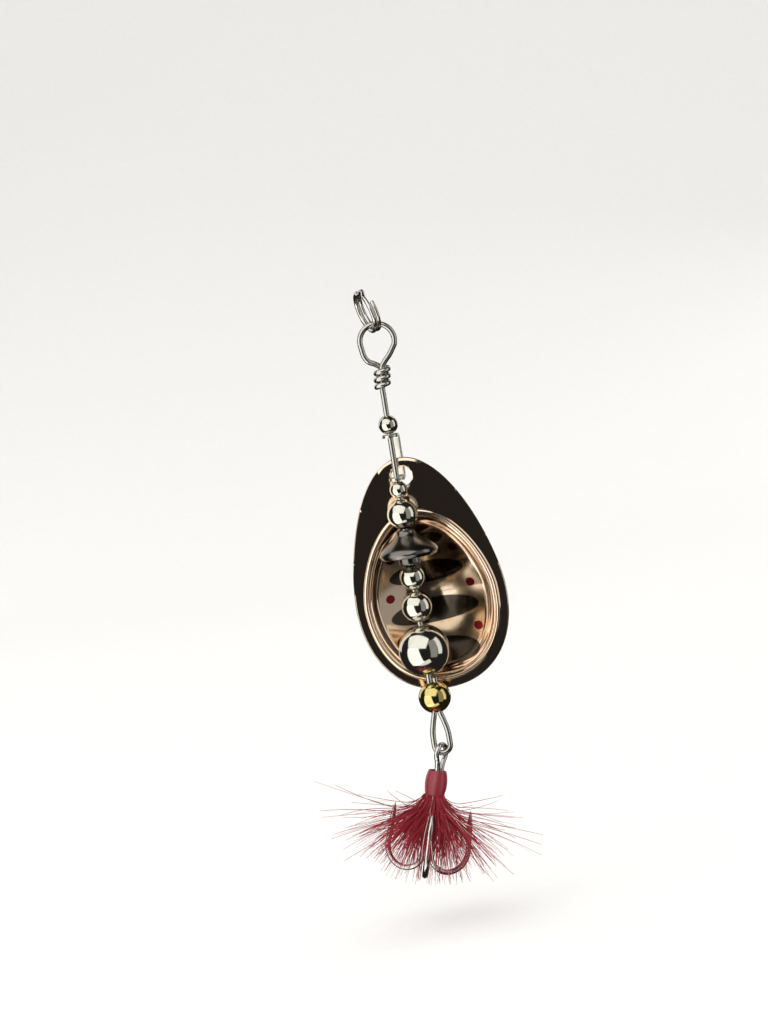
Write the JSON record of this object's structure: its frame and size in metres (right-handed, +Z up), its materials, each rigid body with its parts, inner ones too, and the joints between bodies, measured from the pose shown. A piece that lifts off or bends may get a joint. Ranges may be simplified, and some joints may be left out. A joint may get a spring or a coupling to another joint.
{
  "type": "inline spinner",
  "caption": "Inline spinner fishing lure: wire shaft with a split ring, a cupped blade on a folded clevis, metal beads, a bell, and a dressed treble hook.",
  "frame": {"origin": "inside top of the wire shaft's upper eye, on the shaft's axis", "axes": "+Z up the shaft towards the line; -Y is the side that the hollow of the blade faces; +X completes a right-handed frame, in the plane of the eye and the lower loop"},
  "size_m": [0.0236, 0.0151, 0.0797],
  "materials": {
    "stainless_wire": "polished",
    "nickel": "polished",
    "black_nickel": "polished",
    "brass": "polished",
    "copper": "polished",
    "hook_nickel": "polished",
    "red_thread": "gloss",
    "red_hair": "satin"
  },
  "bodies": {
    "shaft": {"wire_shaft": "stainless_wire"},
    "ring": {"split_ring": "nickel"},
    "upper_bead": {"upper_bead": "nickel"},
    "clevis": {"clevis": "nickel"},
    "blade": {"blade": "copper"},
    "neck_bead": {"neck_bead": "nickel"},
    "shoulder_bead": {"shoulder_bead": "nickel"},
    "bell": {"bell": "black_nickel"},
    "waist_bead": {"waist_bead": "nickel"},
    "middle_bead": {"middle_bead": "nickel"},
    "big_bead": {"big_bead": "nickel"},
    "brass_bead": {"brass_bead": "brass"},
    "treble_hook": {"double_hook": "hook_nickel", "single_hook": "hook_nickel", "thread_whipping": "red_thread", "hair_tuft_1": "red_hair", "hair_tuft_2": "red_hair", "hair_tuft_3": "red_hair"}
  },
  "joints": [
    {"name": "ring_swing", "type": "hinge", "parent": "shaft", "child": "ring", "pos_m": [0.0001, 0, 0.00037], "axis": [0.9962, 0, 0.0872], "range_deg": [-120, 120]},
    {"name": "upper_bead_slide", "type": "slide", "parent": "shaft", "child": "upper_bead", "axis": [0, 0, 1], "range_m": [0, 0.0034]},
    {"name": "clevis_spin", "type": "hinge", "parent": "shaft", "child": "clevis", "pos_m": [0, 0, -0.01762], "axis": [0, 0, 1], "continuous": true},
    {"name": "blade_swing", "type": "hinge", "parent": "clevis", "child": "blade", "pos_m": [0.00063, 0.00172, -0.01898], "axis": [0.9958, -0.0607, 0.0692], "range_deg": [0, 100]},
    {"name": "neck_bead_spin", "type": "hinge", "parent": "shaft", "child": "neck_bead", "pos_m": [0, 0, -0.02196], "axis": [0, 0, 1], "continuous": true},
    {"name": "shoulder_bead_spin", "type": "hinge", "parent": "shaft", "child": "shoulder_bead", "pos_m": [0, 0, -0.02528], "axis": [0, 0, 1], "continuous": true},
    {"name": "bell_spin", "type": "hinge", "parent": "shaft", "child": "bell", "pos_m": [0, 0, -0.02741], "axis": [0, 0, 1], "continuous": true},
    {"name": "waist_bead_spin", "type": "hinge", "parent": "shaft", "child": "waist_bead", "pos_m": [0, 0, -0.03383], "axis": [0, 0, 1], "continuous": true},
    {"name": "middle_bead_spin", "type": "hinge", "parent": "shaft", "child": "middle_bead", "pos_m": [0, 0, -0.03781], "axis": [0, 0, 1], "continuous": true},
    {"name": "big_bead_spin", "type": "hinge", "parent": "shaft", "child": "big_bead", "pos_m": [0, 0, -0.04371], "axis": [0, 0, 1], "continuous": true},
    {"name": "brass_bead_spin", "type": "hinge", "parent": "shaft", "child": "brass_bead", "pos_m": [0.0004, 0, -0.05018], "axis": [0, 0, 1], "continuous": true},
    {"name": "hook_swing", "type": "hinge", "parent": "shaft", "child": "treble_hook", "pos_m": [0.0004, 0, -0.05778], "axis": [-0.8152, 0.5299, 0.2338], "range_deg": [-90, 90]}
  ]
}
